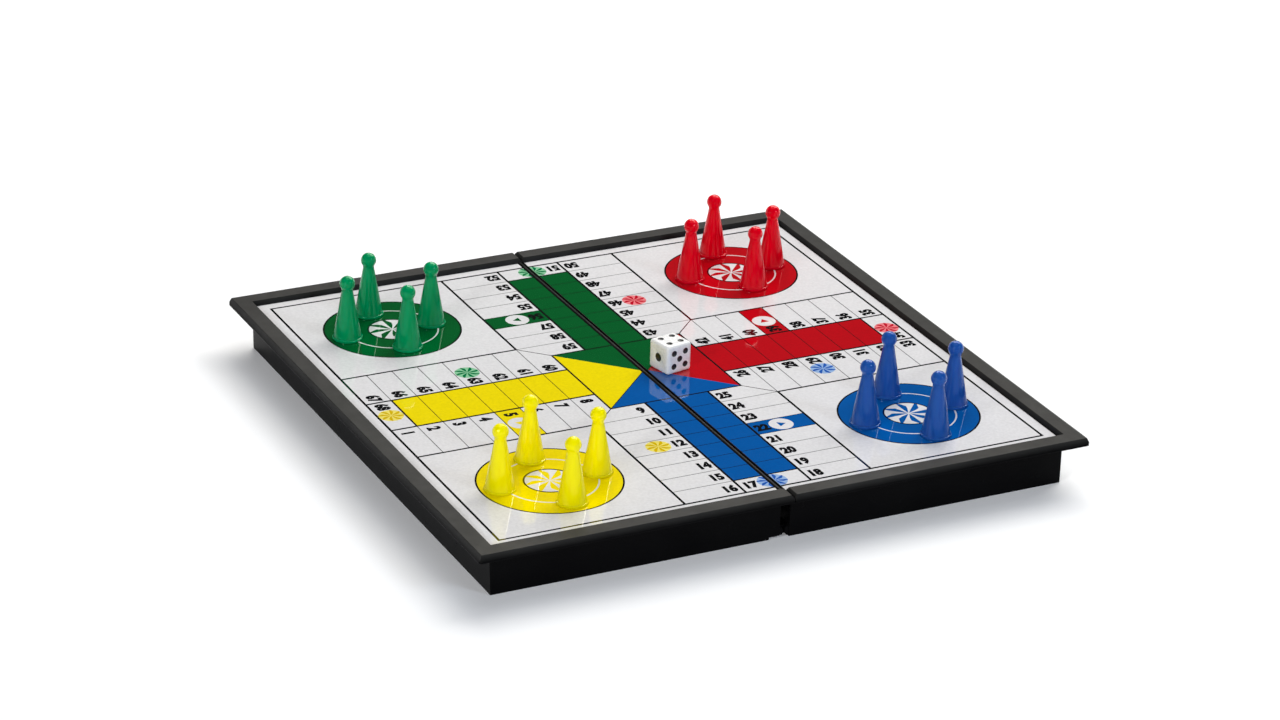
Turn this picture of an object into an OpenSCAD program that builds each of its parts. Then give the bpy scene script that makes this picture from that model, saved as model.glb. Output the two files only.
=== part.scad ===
// Folding ludo board box: two hollow half trays hinged along the middle.
// Open, it is a flat board with a magnetic printed face; folded downwards,
// the two hollows meet and hold the sixteen pawns and the die.
// Millimetres. X runs across the fold, Y along it, Z up from the table.

/* [Board] */
// Length of the board along the fold, over the flange
board_l = 250; // [230:1:280]
// From the fold line to the outer edge of one half
half_w = 126; // [118:1:140]
// Height of one half, table to rim
board_h = 20.3; // [18:0.1:26]

/* [Rim and flange] */
// Flat width of the rim
rim_w = 6.4; // [5:0.1:9]
// How far the rim's outer slope comes out
rim_slope_out = 1.1; // [0.6:0.1:1.6]
// How far the rim's outer slope comes down
rim_slope_down = 2.5; // [1.8:0.1:3]
// Upright edge under the outer slope
flange_lip_h = 0.4; // [0.2:0.1:1]
// How far the rim's inner slope goes in
rim_inner_slope = 1; // [0.5:0.1:1.6]
// Thickness of the flange over its underside groove
flange_roof_t = 1.6; // [1.2:0.1:1.8]
// Thickness of the flange's hanging edge
flange_edge_t = 0.9; // [0.7:0.1:1.2]
// Corner radius of the flange in plan
flange_corner_r = 1.5; // [0.8:0.1:3]

/* [Tray] */
// From the flange's outer edge in to the foot of the wall
wall_inset = 7.7; // [6.8:0.1:9]
// Wall thickness at the foot
wall_t = 2; // [1.6:0.1:2.6]
// How much the wall leans out from foot to top
wall_draft = 0.5; // [0:0.1:0.8]
// Corner radius of the wall in plan
wall_corner_r = 1.6; // [0.8:0.1:3]
// Corner radius inside the hollow
hollow_corner_r = 2.5; // [1:0.1:4]
// Thickness of the deck under the steel sheet
deck_t = 1.5; // [1.2:0.1:2.4]
// From the rim's top down to the printed face
face_drop = 2; // [1.6:0.1:2.4]

/* [Fold] */
// Gap between the two halves where their edges butt
fold_gap = 0.4; // [0.2:0.1:0.8]
// Bevel on the rim's ends at the fold
fold_bevel = 0.9; // [0.4:0.1:1.2]
// From the fold line to the wall beside it
fold_wall_x = 2; // [1.6:0.1:2.2]
// Height of the fold lip over the printed face
fold_lip_h = 0.4; // [0.2:0.1:0.8]
// Run of the slope from the left printed face up to its fold lip
lip_left_run = 0.6; // [0.2:0.1:0.8]
// Bevel on the left fold lip beside the gap
lip_left_bevel = 0.5; // [0.2:0.1:0.6]
// Run of the slope from the right printed face up to its fold lip
lip_right_run = 0.3; // [0.1:0.05:0.3]
// Bevel on the right fold lip beside the gap
lip_right_bevel = 0.2; // [0.05:0.05:0.25]
// From the fold line to the left bed of the sheets
bed_left_x = 1.9; // [1.6:0.1:3]
// From the fold line to the right bed, whose lip is narrower
bed_right_x = 0.8; // [0.8:0.1:2]
// Length of the relief notch in the left wall's foot
foot_notch_l = 4.3; // [3:0.1:8]
// Height of the relief notch
foot_notch_h = 1; // [0.5:0.1:1.1]

/* [Sheets] */
// Thickness of the steel sheet
steel_t = 0.5; // [0.3:0.05:0.8]
// Thickness of the printed sheet
print_t = 0.3; // [0.2:0.05:0.5]
// Clearance round the sheets
sheet_clear = 0.1; // [0.05:0.05:0.3]

/* [Hinge] */
// Radius of the hinge pins
pin_r = 0.75; // [0.6:0.05:0.9]
// Radius of the hinge knuckles and link ends
knuckle_r = 2.1; // [1.9:0.05:2.1]
// From the fold line to a hinge pin
pin_x = 2.4; // [2.3:0.05:2.6]
// Gap between the two closed halves
closed_gap = 0.2; // [0.1:0.05:0.3]
// Width of a hinge link along the fold
link_w = 4; // [3:0.5:8]
// Width of the inner hinge knuckle
ear_w = 2.5; // [2:0.5:5]
// Clearance beside a link
link_side_clear = 0.1; // [0.05:0.05:0.3]
// Clearance round a link's end
link_end_clear = 0.3; // [0.2:0.05:0.5]
// Running clearance of a pin in a link, on the radius
pin_clear = 0.05; // [0.02:0.01:0.1]
// Plastic left outside the pin's blind end
pin_skin = 0.8; // [0.6:0.1:1]
// How far the outer hinge knuckle sits behind the end wall's face
knuckle_recess = 0.4; // [0.2:0.1:0.5]
// Room to spare in the notch that a pin is pushed in from
pin_entry_clear = 1; // [0.5:0.5:5]

/* [Closing magnets] */
// Radius of a closing magnet
catch_r = 3; // [2:0.1:3.5]
// Thickness of a closing magnet
catch_t = 2; // [1:0.1:4]
// How far the closing magnets sit inside the wall's foot
catch_sink = 0.1; // [0.05:0.05:0.3]
// From the wall's foot in to the magnet's centre
catch_inset = 6; // [5:0.1:6]
// Plastic round a closing magnet
catch_boss_t = 1.3; // [1.2:0.1:2.5]

/* [Houses] */
// From the flange's outer edge in to the print's frame
print_margin = 13.3; // [11:0.1:16]
// Side of a printed house
house_a = 74.2; // [70:0.1:80]
// Radius of the ring that the four pawns of a house stand on
ring_r = 18.2; // [17:0.1:21]

/* [Pawns] */
// Radius of a pawn's foot
foot_r = 6; // [5.9:0.1:6.5]
// Height of a pawn's foot
foot_h = 1; // [0.8:0.1:2]
// Bevel on the foot's upper edge
foot_bevel = 0.3; // [0.1:0.1:0.5]
// Radius of the cone over the foot
cone_r = 5.6; // [4.8:0.1:5.6]
// Radius of the neck
neck_r = 2.05; // [1.6:0.05:2.4]
// Radius of the head
head_r = 3.05; // [2.7:0.05:3.5]
// Height of a pawn
pawn_h = 26.4; // [24:0.1:28]
// Radius of a pawn's magnet
pawn_magnet_r = 3.5; // [2.5:0.1:3.9]
// Thickness of a pawn's magnet
pawn_magnet_t = 1.5; // [1:0.1:3]
// How far a pawn's magnet sits inside its foot
pawn_magnet_sink = 0.2; // [0.1:0.05:0.5]

/* [Die] */
// Edge of the die
die_a = 11.9; // [10:0.1:14]
// Radius of the die's edges
die_edge_r = 1.3; // [0.5:0.1:2]
// Radius of a pip where it meets the face
pip_r = 1.25; // [0.8:0.05:1.25]
// Radius of the single pip of the one
one_pip_r = 1.8; // [1:0.1:2.4]
// Depth of a pip
pip_depth = 0.5; // [0.3:0.05:0.7]
// Spacing of the pips
pip_step = 2.75; // [2.6:0.05:3]
// From the printed sheet's edge at the fold to the die
die_fold_gap = 2; // [0.5:0.1:12]
// Place of the die along the fold
die_y = -1.1; // [-10:0.1:10]
// Turn of the die on the board, degrees
die_turn = 12; // [0:1:90]

/* [Hidden] */
COLOURS = ["green", "red", "blue", "yellow"];
SEATS = [1, 2, 3, 4];

// A little more than a cut needs, so that no skin is left on its mouth
over = 1;

// Heights
face_z = board_h - face_drop;
bed_z = face_z - print_t - steel_t;
hollow_z = bed_z - deck_t;
flange_z = board_h - rim_slope_down - flange_lip_h;
groove_z = board_h - flange_roof_t;
wall_top_z = board_h - flange_roof_t / 2;
fold_lip_z = face_z + fold_lip_h;

// Plan: half lengths along Y, and distances from the fold along X
half_l = board_l / 2;
foot_x = half_w - wall_inset;
foot_y = half_l - wall_inset;
hollow_x = foot_x - wall_t;
hollow_y = foot_y - wall_t;
hollow_fold_x = fold_wall_x + wall_t;
bed_x = half_w - rim_slope_out - rim_w - rim_inner_slope;
bed_y = half_l - rim_slope_out - rim_w - rim_inner_slope;

// Hinge: the pins stand as high as they are far from the fold, less half
// the closed gap, so that half a turn lays one foot on the other
pin_z = pin_x - closed_gap / 2;
link_slot_l = link_w + 2 * link_side_clear;
slot_r = knuckle_r + link_end_clear;
link_y = hollow_y - link_slot_l / 2;
ear_y = hollow_y - link_slot_l - ear_w / 2;
pin_outer_y = foot_y - pin_skin;
pin_inner_y = ear_y - ear_w / 2;
pin_l = pin_outer_y - pin_inner_y;
entry_y = pin_inner_y - pin_l - pin_entry_clear;
// The link's waist between its two round ends
link_waist = 0.8;

catch_x = foot_x - catch_inset;
catch_y = foot_y - catch_inset;
catch_boss_r = catch_r + catch_boss_t;

// Houses and pieces
house_x = half_w - print_margin - house_a / 2;
house_y = half_l - print_margin - house_a / 2;
head_z = pawn_h - head_r;
neck_z = head_z - sqrt(head_r * head_r - neck_r * neck_r);
die_reach = die_a / 2 * (cos(die_turn) + sin(die_turn));
die_x = bed_right_x + sheet_clear + die_fold_gap + die_reach;

// Which side of the fold and of the middle each house lies on
HOUSE_SIDES = [[-1, 1], [1, 1], [1, -1], [-1, -1]];
// The four places on the ring: left, back, right, front
SEAT_TURNS = [180, 90, 0, -90];
// How far each pawn stands off its place, as put down by hand
NUDGES = [
    [[-1.4, -0.9], [-2.9, -0.5], [-1.8, -0.3], [-1.2, -0.1]],
    [[-0.6, 0.6], [1.9, 2.6], [0.8, 1.1], [1.7, 1.7]],
    [[-1.6, -1.4], [0.6, 0.6], [1.6, 0.9], [0, -2.5]],
    [[-1.7, 0.5], [0.5, 0.8], [0.9, -0.3], [-0.2, -1.5]]
];
PAWN_PAINTS = [[0, 0.54, 0.33], [0.84, 0, 0.1], [0.14, 0.29, 0.65], [0.94, 0.9, 0]];
TRAY_PAINT = [0.1, 0.1, 0.1];
STEEL_PAINT = [0.62, 0.63, 0.64];
PRINT_PAINT = [0.9, 0.9, 0.91];
NICKEL_PAINT = [0.75, 0.75, 0.76];
FERRITE_PAINT = [0.2, 0.2, 0.21];

// Pips of a face in steps from its middle, by the face's number
PIPS = [
    [[0, 0]],
    [[-1, -1], [1, 1]],
    [[-1, -1], [0, 0], [1, 1]],
    [[-1, -1], [-1, 1], [1, -1], [1, 1]],
    [[-1, -1], [-1, 1], [0, 0], [1, -1], [1, 1]],
    [[-1, -1], [-1, 0], [-1, 1], [1, -1], [1, 0], [1, 1]]
];
// The turn that brings each face to the top: one faces left, five right,
// four up, and opposite faces add up to seven
FACE_TURNS = [[0, -90, 0], [-90, 0, 0], [180, 0, 0], [0, 0, 0], [90, 0, 0], [0, 90, 0]];

// ---------------------------------------------------------------- outlines

// An outline in X and Z carried along Y
module along_y(length) {
    rotate([90, 0, 0])
        linear_extrude(height = length, center = true)
            children();
}

// An outline in Y and Z carried along X, from the fold outwards
module along_x(length) {
    rotate([90, 0, 90])
        linear_extrude(height = length)
            children();
}

// A plate in plan with round outer corners and square ones at the fold
module half_plan(x0, x1, y_half, corner_r) {
    translate([x0, -y_half])
        square([x1 - x0 - corner_r, 2 * y_half]);
    translate([x0, -y_half + corner_r])
        square([x1 - x0, 2 * (y_half - corner_r)]);
    for (side = [-1, 1])
        translate([x1 - corner_r, side * (y_half - corner_r)])
            circle(r = corner_r, $fn = 32);
}

// A plate in plan with four round corners
module round_plan(x0, x1, y_half, corner_r) {
    translate([x0 + corner_r, -y_half])
        square([x1 - x0 - 2 * corner_r, 2 * y_half]);
    translate([x0, -y_half + corner_r])
        square([x1 - x0, 2 * (y_half - corner_r)]);
    for (x = [x0 + corner_r, x1 - corner_r], side = [-1, 1])
        translate([x, side * (y_half - corner_r)])
            circle(r = corner_r, $fn = 32);
}

// Runs its children at the front and at the rear end of the fold
module both_ends() {
    children();
    mirror([0, 1, 0])
        children();
}

// The right half as drawn, or the left one as its mirror image
module half(side) {
    if (side > 0)
        children();
    else
        mirror([1, 0, 0])
            children();
}

// -------------------------------------------------------------------- tray

// The rim and flange as a solid block, sloped on its three outer sides
module flange_block() {
    intersection() {
        along_y(board_l)
            polygon([
                [fold_gap / 2, flange_z],
                [half_w, flange_z],
                [half_w, board_h - rim_slope_down],
                [half_w - rim_slope_out, board_h],
                [fold_gap / 2 + fold_bevel, board_h],
                [fold_gap / 2, board_h - fold_bevel]
            ]);
        along_x(half_w)
            polygon([
                [-half_l, flange_z],
                [half_l, flange_z],
                [half_l, board_h - rim_slope_down],
                [half_l - rim_slope_out, board_h],
                [-half_l + rim_slope_out, board_h],
                [-half_l, board_h - rim_slope_down]
            ]);
        linear_extrude(height = board_h)
            half_plan(0, half_w, half_l, flange_corner_r);
    }
}

// The groove under the flange, between the wall and the hanging edge
module flange_groove() {
    inset = rim_slope_out + flange_edge_t;
    translate([0, 0, flange_z - over])
        linear_extrude(height = groove_z - flange_z + over)
            difference() {
                half_plan(fold_wall_x, half_w - inset, half_l - inset, flange_corner_r);
                half_plan(0, foot_x, foot_y, wall_corner_r);
            }
}

// The tray's body under the rim, leaning outwards
module wall_block() {
    top_x = foot_x + wall_draft;
    top_y = foot_y + wall_draft;
    intersection() {
        along_y(board_l)
            polygon([[fold_wall_x, 0], [foot_x, 0], [top_x, wall_top_z], [fold_wall_x, wall_top_z]]);
        along_x(half_w)
            polygon([[-foot_y, 0], [foot_y, 0], [top_y, wall_top_z], [-top_y, wall_top_z]]);
        linear_extrude(height = wall_top_z)
            half_plan(fold_wall_x, top_x, top_y, wall_corner_r);
    }
}

// The bed of the two sheets with the rim's inner slope, open towards the fold
module face_bed(fold_x, lip_run, lip_bevel) {
    slope = rim_inner_slope / face_drop;
    top_z = board_h + over;
    spread = rim_inner_slope + over * slope;
    bevel_foot_z = fold_lip_z - lip_bevel - fold_gap / 2 - over;
    intersection() {
        along_y(board_l)
            polygon([
                [fold_x, bed_z],
                [bed_x, bed_z],
                [bed_x, face_z],
                [bed_x + spread, top_z],
                [-over, top_z],
                [-over, bevel_foot_z],
                [fold_gap / 2 + lip_bevel, fold_lip_z],
                [fold_x - lip_run, fold_lip_z],
                [fold_x, face_z]
            ]);
        translate([-over, 0, 0])
            along_x(half_w + over)
                polygon([
                    [-bed_y, bed_z],
                    [bed_y, bed_z],
                    [bed_y, face_z],
                    [bed_y + spread, top_z],
                    [-bed_y - spread, top_z],
                    [-bed_y, face_z]
                ]);
    }
}

// The hollow under the deck
module storage_hollow() {
    translate([0, 0, -over])
        linear_extrude(height = hollow_z + over)
            round_plan(hollow_fold_x, hollow_x, hollow_y, hollow_corner_r);
}

// The posts in the outer corners that hold the closing magnets
module catch_posts() {
    both_ends()
        linear_extrude(height = bed_z)
            union() {
                translate([catch_x, catch_y])
                    circle(r = catch_boss_r, $fn = 48);
                translate([catch_x, catch_y - catch_boss_r])
                    square([hollow_x - catch_x + over, catch_boss_r + hollow_y - catch_y + over]);
                translate([catch_x - catch_boss_r, catch_y])
                    square([catch_boss_r + hollow_x - catch_x + over, hollow_y - catch_y + over]);
            }
}

// A round bar along Y, given by its middle, its radius and its length
module bar_y(x, y, z, r, length) {
    translate([x, y, z])
        rotate([90, 0, 0])
            cylinder(r = r, h = length, center = true, $fn = 48);
}

// The inner knuckle, hanging from the fold wall into its notch
module inner_knuckle() {
    bar_y(pin_x, ear_y, pin_z, knuckle_r, ear_w);
    translate([fold_wall_x, ear_y - ear_w / 2, pin_z])
        cube([wall_t, ear_w, slot_r + over]);
}

// The outer knuckle, a swelling of the end wall behind its face
module outer_knuckle() {
    length = wall_t - knuckle_recess;
    bar_y(pin_x, hollow_y + length / 2, pin_z, knuckle_r, length);
}

// The notches in the fold wall that the link turns in and the pins enter by
module fold_notches() {
    both_ends()
        difference() {
            translate([0, entry_y, -over])
                cube([pin_x + slot_r, hollow_y - entry_y, pin_z + slot_r + over]);
            inner_knuckle();
        }
}

module pin_holes() {
    both_ends()
        bar_y(pin_x, pin_inner_y + pin_l / 2, pin_z, pin_r, pin_l);
}

module catch_pockets() {
    both_ends()
        translate([catch_x, catch_y, -over])
            cylinder(r = catch_r, h = catch_sink + catch_t + over, $fn = 48);
}

module foot_notch() {
    translate([0, -foot_y - over, -over])
        cube([fold_wall_x + foot_notch_l, wall_t + over, foot_notch_h + over]);
}

module half_tray(fold_x, lip_run, lip_bevel) {
    difference() {
        union() {
            difference() {
                flange_block();
                flange_groove();
            }
            wall_block();
            both_ends() {
                inner_knuckle();
                outer_knuckle();
            }
        }
        face_bed(fold_x, lip_run, lip_bevel);
        difference() {
            storage_hollow();
            catch_posts();
            both_ends()
                inner_knuckle();
        }
        fold_notches();
        pin_holes();
        catch_pockets();
    }
}

module tray_right() {
    color(TRAY_PAINT)
        half_tray(bed_right_x, lip_right_run, lip_right_bevel);
}

module tray_left() {
    color(TRAY_PAINT)
        half(-1)
            difference() {
                half_tray(bed_left_x, lip_left_run, lip_left_bevel);
                foot_notch();
            }
}

// ------------------------------------------------------------------ sheets

// A flat sheet in the bed of one half
module sheet(side, z, thickness) {
    x0 = (side < 0 ? bed_left_x : bed_right_x) + sheet_clear;
    x1 = bed_x - sheet_clear;
    y1 = bed_y - sheet_clear;
    half(side)
        translate([x0, -y1, z])
            cube([x1 - x0, 2 * y1, thickness]);
}

module steel_sheet(side) {
    color(STEEL_PAINT)
        sheet(side, bed_z, steel_t);
}

module printed_face(side) {
    color(PRINT_PAINT)
        sheet(side, bed_z + steel_t, print_t);
}

// ------------------------------------------------------------------- hinge

// A dog-bone link with a round end on each half's pin
module hinge_link() {
    color(TRAY_PAINT)
        difference() {
            union() {
                for (side = [-1, 1])
                    bar_y(side * pin_x, -link_y, pin_z, knuckle_r, link_w);
                translate([-pin_x, -link_y - link_w / 2, pin_z - knuckle_r * link_waist])
                    cube([2 * pin_x, link_w, 2 * knuckle_r * link_waist]);
            }
            for (side = [-1, 1])
                bar_y(side * pin_x, -link_y, pin_z, pin_r + pin_clear, link_w + over);
        }
}

module hinge_link_front() {
    hinge_link();
}

module hinge_link_rear() {
    mirror([0, 1, 0])
        hinge_link();
}

module hinge_pins(side) {
    color(STEEL_PAINT)
        half(side)
            pin_holes();
}

// ----------------------------------------------------------------- magnets

module closing_magnets(side) {
    color(NICKEL_PAINT)
        half(side)
            both_ends()
                translate([catch_x, catch_y, catch_sink])
                    cylinder(r = catch_r, h = catch_t, $fn = 48);
}

// ------------------------------------------------------------------ pieces

// Puts a piece where a pawn of this colour stands on the board
module at_seat(colour, seat) {
    sides = HOUSE_SIDES[colour];
    turn = SEAT_TURNS[seat];
    nudge = NUDGES[colour][seat];
    translate([
        sides[0] * house_x + ring_r * cos(turn) + nudge[0],
        sides[1] * house_y + ring_r * sin(turn) + nudge[1],
        face_z
    ])
        children();
}

module pawn(colour, seat) {
    magnet_z = pawn_magnet_sink + pawn_magnet_t;
    color(PAWN_PAINTS[colour])
        at_seat(colour, seat)
            difference() {
                union() {
                    cylinder(r = foot_r, h = foot_h - foot_bevel, $fn = 64);
                    translate([0, 0, foot_h - foot_bevel])
                        cylinder(r1 = foot_r, r2 = foot_r - foot_bevel, h = foot_bevel, $fn = 64);
                    translate([0, 0, foot_h])
                        cylinder(r1 = cone_r, r2 = neck_r, h = neck_z - foot_h, $fn = 64);
                    translate([0, 0, head_z])
                        sphere(r = head_r, $fn = 48);
                }
                translate([0, 0, -over])
                    cylinder(r = pawn_magnet_r, h = magnet_z + over, $fn = 48);
            }
}

module pawn_magnet(colour, seat) {
    color(FERRITE_PAINT)
        at_seat(colour, seat)
            translate([0, 0, pawn_magnet_sink])
                cylinder(r = pawn_magnet_r, h = pawn_magnet_t, $fn = 48);
}

// A square bar through the die's middle with round edges along Z
module die_bar() {
    flat = die_a - 2 * die_edge_r;
    linear_extrude(height = die_a, center = true)
        union() {
            square([die_a, flat], center = true);
            square([flat, die_a], center = true);
            for (x = [-flat / 2, flat / 2], y = [-flat / 2, flat / 2])
                translate([x, y])
                    circle(r = die_edge_r, $fn = 32);
        }
}

// The ball that cuts a dished pip of a radius out of a face
module pip_ball(r) {
    ball_r = (r * r + pip_depth * pip_depth) / (2 * pip_depth);
    translate([0, 0, ball_r - pip_depth])
        sphere(r = ball_r, $fn = 24);
}

module die() {
    color("white")
        translate([die_x, die_y, face_z + die_a / 2])
            rotate([0, 0, die_turn])
                difference() {
                    intersection() {
                        die_bar();
                        rotate([90, 0, 0])
                            die_bar();
                        rotate([0, 90, 0])
                            die_bar();
                    }
                    for (number = [1:6])
                        rotate(FACE_TURNS[number - 1])
                            for (pip = PIPS[number - 1])
                                translate([pip[0] * pip_step, pip[1] * pip_step, die_a / 2])
                                    pip_ball(number == 1 ? one_pip_r : pip_r);
                }
}

// ---------------------------------------------------------------- assembly

tray_left();
tray_right();
steel_sheet(-1);  // steel_sheet_left
steel_sheet(1);  // steel_sheet_right
printed_face(-1);  // printed_face_left
printed_face(1);  // printed_face_right
hinge_link_front();
hinge_link_rear();
hinge_pins(-1);  // hinge_pins_left
hinge_pins(1);  // hinge_pins_right
closing_magnets(-1);  // closing_magnets_left
closing_magnets(1);  // closing_magnets_right
for (colour = [0 : len(COLOURS) - 1], seat = [0 : len(SEATS) - 1]) {
    name = str(COLOURS[colour], "_", SEATS[seat]);
    pawn(colour, seat);
    pawn_magnet(colour, seat);
}
die();
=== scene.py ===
"""Dresses the folding ludo board: moulded trays, printed sheets, pawns, die, hinge and studio.

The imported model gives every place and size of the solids. The sub-assemblies below add what
the solids leave out: the print on the sheets, the turned form of the pawns, the painted pips
of the die, and the finish of each surface. Lengths are in millimetres, but for the studio's,
which are in metres. Colours are red, green and blue out of 255.
"""
import json
import logging
import math
from dataclasses import dataclass, field
from enum import Enum
from typing import ClassVar, Iterable, Iterator, Optional, Sequence

import bmesh
import bpy
from mathutils import Matrix, Quaternion, Vector
from mathutils.geometry import delaunay_2d_cdt


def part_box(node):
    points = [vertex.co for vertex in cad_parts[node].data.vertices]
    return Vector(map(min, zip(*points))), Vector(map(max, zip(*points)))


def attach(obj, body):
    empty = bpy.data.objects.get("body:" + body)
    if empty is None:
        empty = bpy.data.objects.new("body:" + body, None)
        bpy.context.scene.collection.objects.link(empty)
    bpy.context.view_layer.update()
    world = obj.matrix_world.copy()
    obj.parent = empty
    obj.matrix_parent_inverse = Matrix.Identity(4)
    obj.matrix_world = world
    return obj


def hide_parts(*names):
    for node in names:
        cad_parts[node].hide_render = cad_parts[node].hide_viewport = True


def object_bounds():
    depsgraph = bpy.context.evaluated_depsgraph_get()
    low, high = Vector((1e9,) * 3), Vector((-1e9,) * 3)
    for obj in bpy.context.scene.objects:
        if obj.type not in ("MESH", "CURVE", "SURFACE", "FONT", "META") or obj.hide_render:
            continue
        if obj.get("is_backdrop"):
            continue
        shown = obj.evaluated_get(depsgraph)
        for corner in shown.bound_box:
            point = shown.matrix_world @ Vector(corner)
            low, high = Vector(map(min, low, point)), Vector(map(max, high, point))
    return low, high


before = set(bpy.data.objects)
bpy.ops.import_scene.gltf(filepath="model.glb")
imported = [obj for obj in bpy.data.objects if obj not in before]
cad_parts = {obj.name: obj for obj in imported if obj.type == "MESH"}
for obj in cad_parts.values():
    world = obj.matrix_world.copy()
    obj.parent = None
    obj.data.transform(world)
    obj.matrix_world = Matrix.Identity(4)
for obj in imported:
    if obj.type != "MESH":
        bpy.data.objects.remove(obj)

CAD_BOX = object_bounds()
MM = 0.001
LOG = logging.getLogger("ludo_board")

Point = tuple[float, float]
Span = tuple[float, float]
Rgb = tuple[int, int, int]
Ring = list[bmesh.types.BMVert]
Socket = bpy.types.NodeSocket


class House(Enum):
    """The four players' colours, in the order of their arms round the board."""

    BLUE = "blue"
    RED = "red"
    GREEN = "green"
    YELLOW = "yellow"

    @property
    def arm(self) -> int:
        """Quarter turns from the front arm to this colour's arm."""
        return list(House).index(self)

    @property
    def before(self) -> "House":
        """The colour whose arm comes before this one."""
        return list(House)[(self.arm + 3) % 4]


class Ink(Enum):
    """Each ink of the print, with its colour."""

    PAPER = (226, 226, 229)
    BLACK = (14, 14, 16)
    GREY = (104, 106, 108)
    BLUE = (0, 86, 164)
    RED = (184, 8, 22)
    GREEN = (0, 90, 38)
    YELLOW = (240, 220, 0)
    PALE_BLUE = (150, 182, 226)
    PALE_RED = (238, 132, 138)
    PALE_GREEN = (138, 202, 160)
    PALE_YELLOW = (240, 226, 110)
    MID_BLUE = (34, 90, 182)
    MID_RED = (194, 20, 44)
    MID_GREEN = (0, 116, 66)
    MID_YELLOW = (212, 178, 4)

    @classmethod
    def full(cls, house: House) -> "Ink":
        """The full ink of a house."""
        return cls[house.name]

    @classmethod
    def pale(cls, house: House) -> "Ink":
        """The tint under a cell rosette of a house."""
        return cls["PALE_" + house.name]

    @classmethod
    def mid(cls, house: House) -> "Ink":
        """The ink of the blades of a cell rosette of a house."""
        return cls["MID_" + house.name]


class Axis(Enum):
    """The way a streaky finish runs, as how far its noise is squeezed along each axis."""

    ALONG_Y = (1.0, 0.06, 1.0)
    ALONG_Z = (1.0, 1.0, 0.06)


def linear(colour: Rgb) -> tuple[float, float, float, float]:
    """Turns a screen colour into the shader's linear colour.

    Args:
        colour: The screen colour.

    Returns:
        Linear red, green, blue and an alpha of one.
    """
    parts = [part / 255 for part in colour]
    line = [p / 12.92 if p <= 0.04045 else ((p + 0.055) / 1.055) ** 2.4 for p in parts]
    return (line[0], line[1], line[2], 1.0)


def shade(colour: Rgb, factor: float) -> Rgb:
    """A screen colour made darker or lighter by a factor."""
    return tuple(min(255, max(0, round(part * factor))) for part in colour)


def circle(sides: int, start: float = 0.0) -> list[Point]:
    """Places all round a circle of radius one, against the clock from an angle in radians."""
    turns = [start + math.tau * side / sides for side in range(sides)]
    return [(math.cos(turn), math.sin(turn)) for turn in turns]


@dataclass(frozen=True)
class Noise:
    """A noise over a surface: how wide its lumps are, how finely they break up, and its streaks."""

    size: float
    detail: float = 2.0
    axis: Optional[Axis] = None


@dataclass(frozen=True)
class Relief:
    """Fine relief that follows a noise: how deep it is, and how much of it shows."""

    noise: Noise
    depth: float
    strength: float


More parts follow.
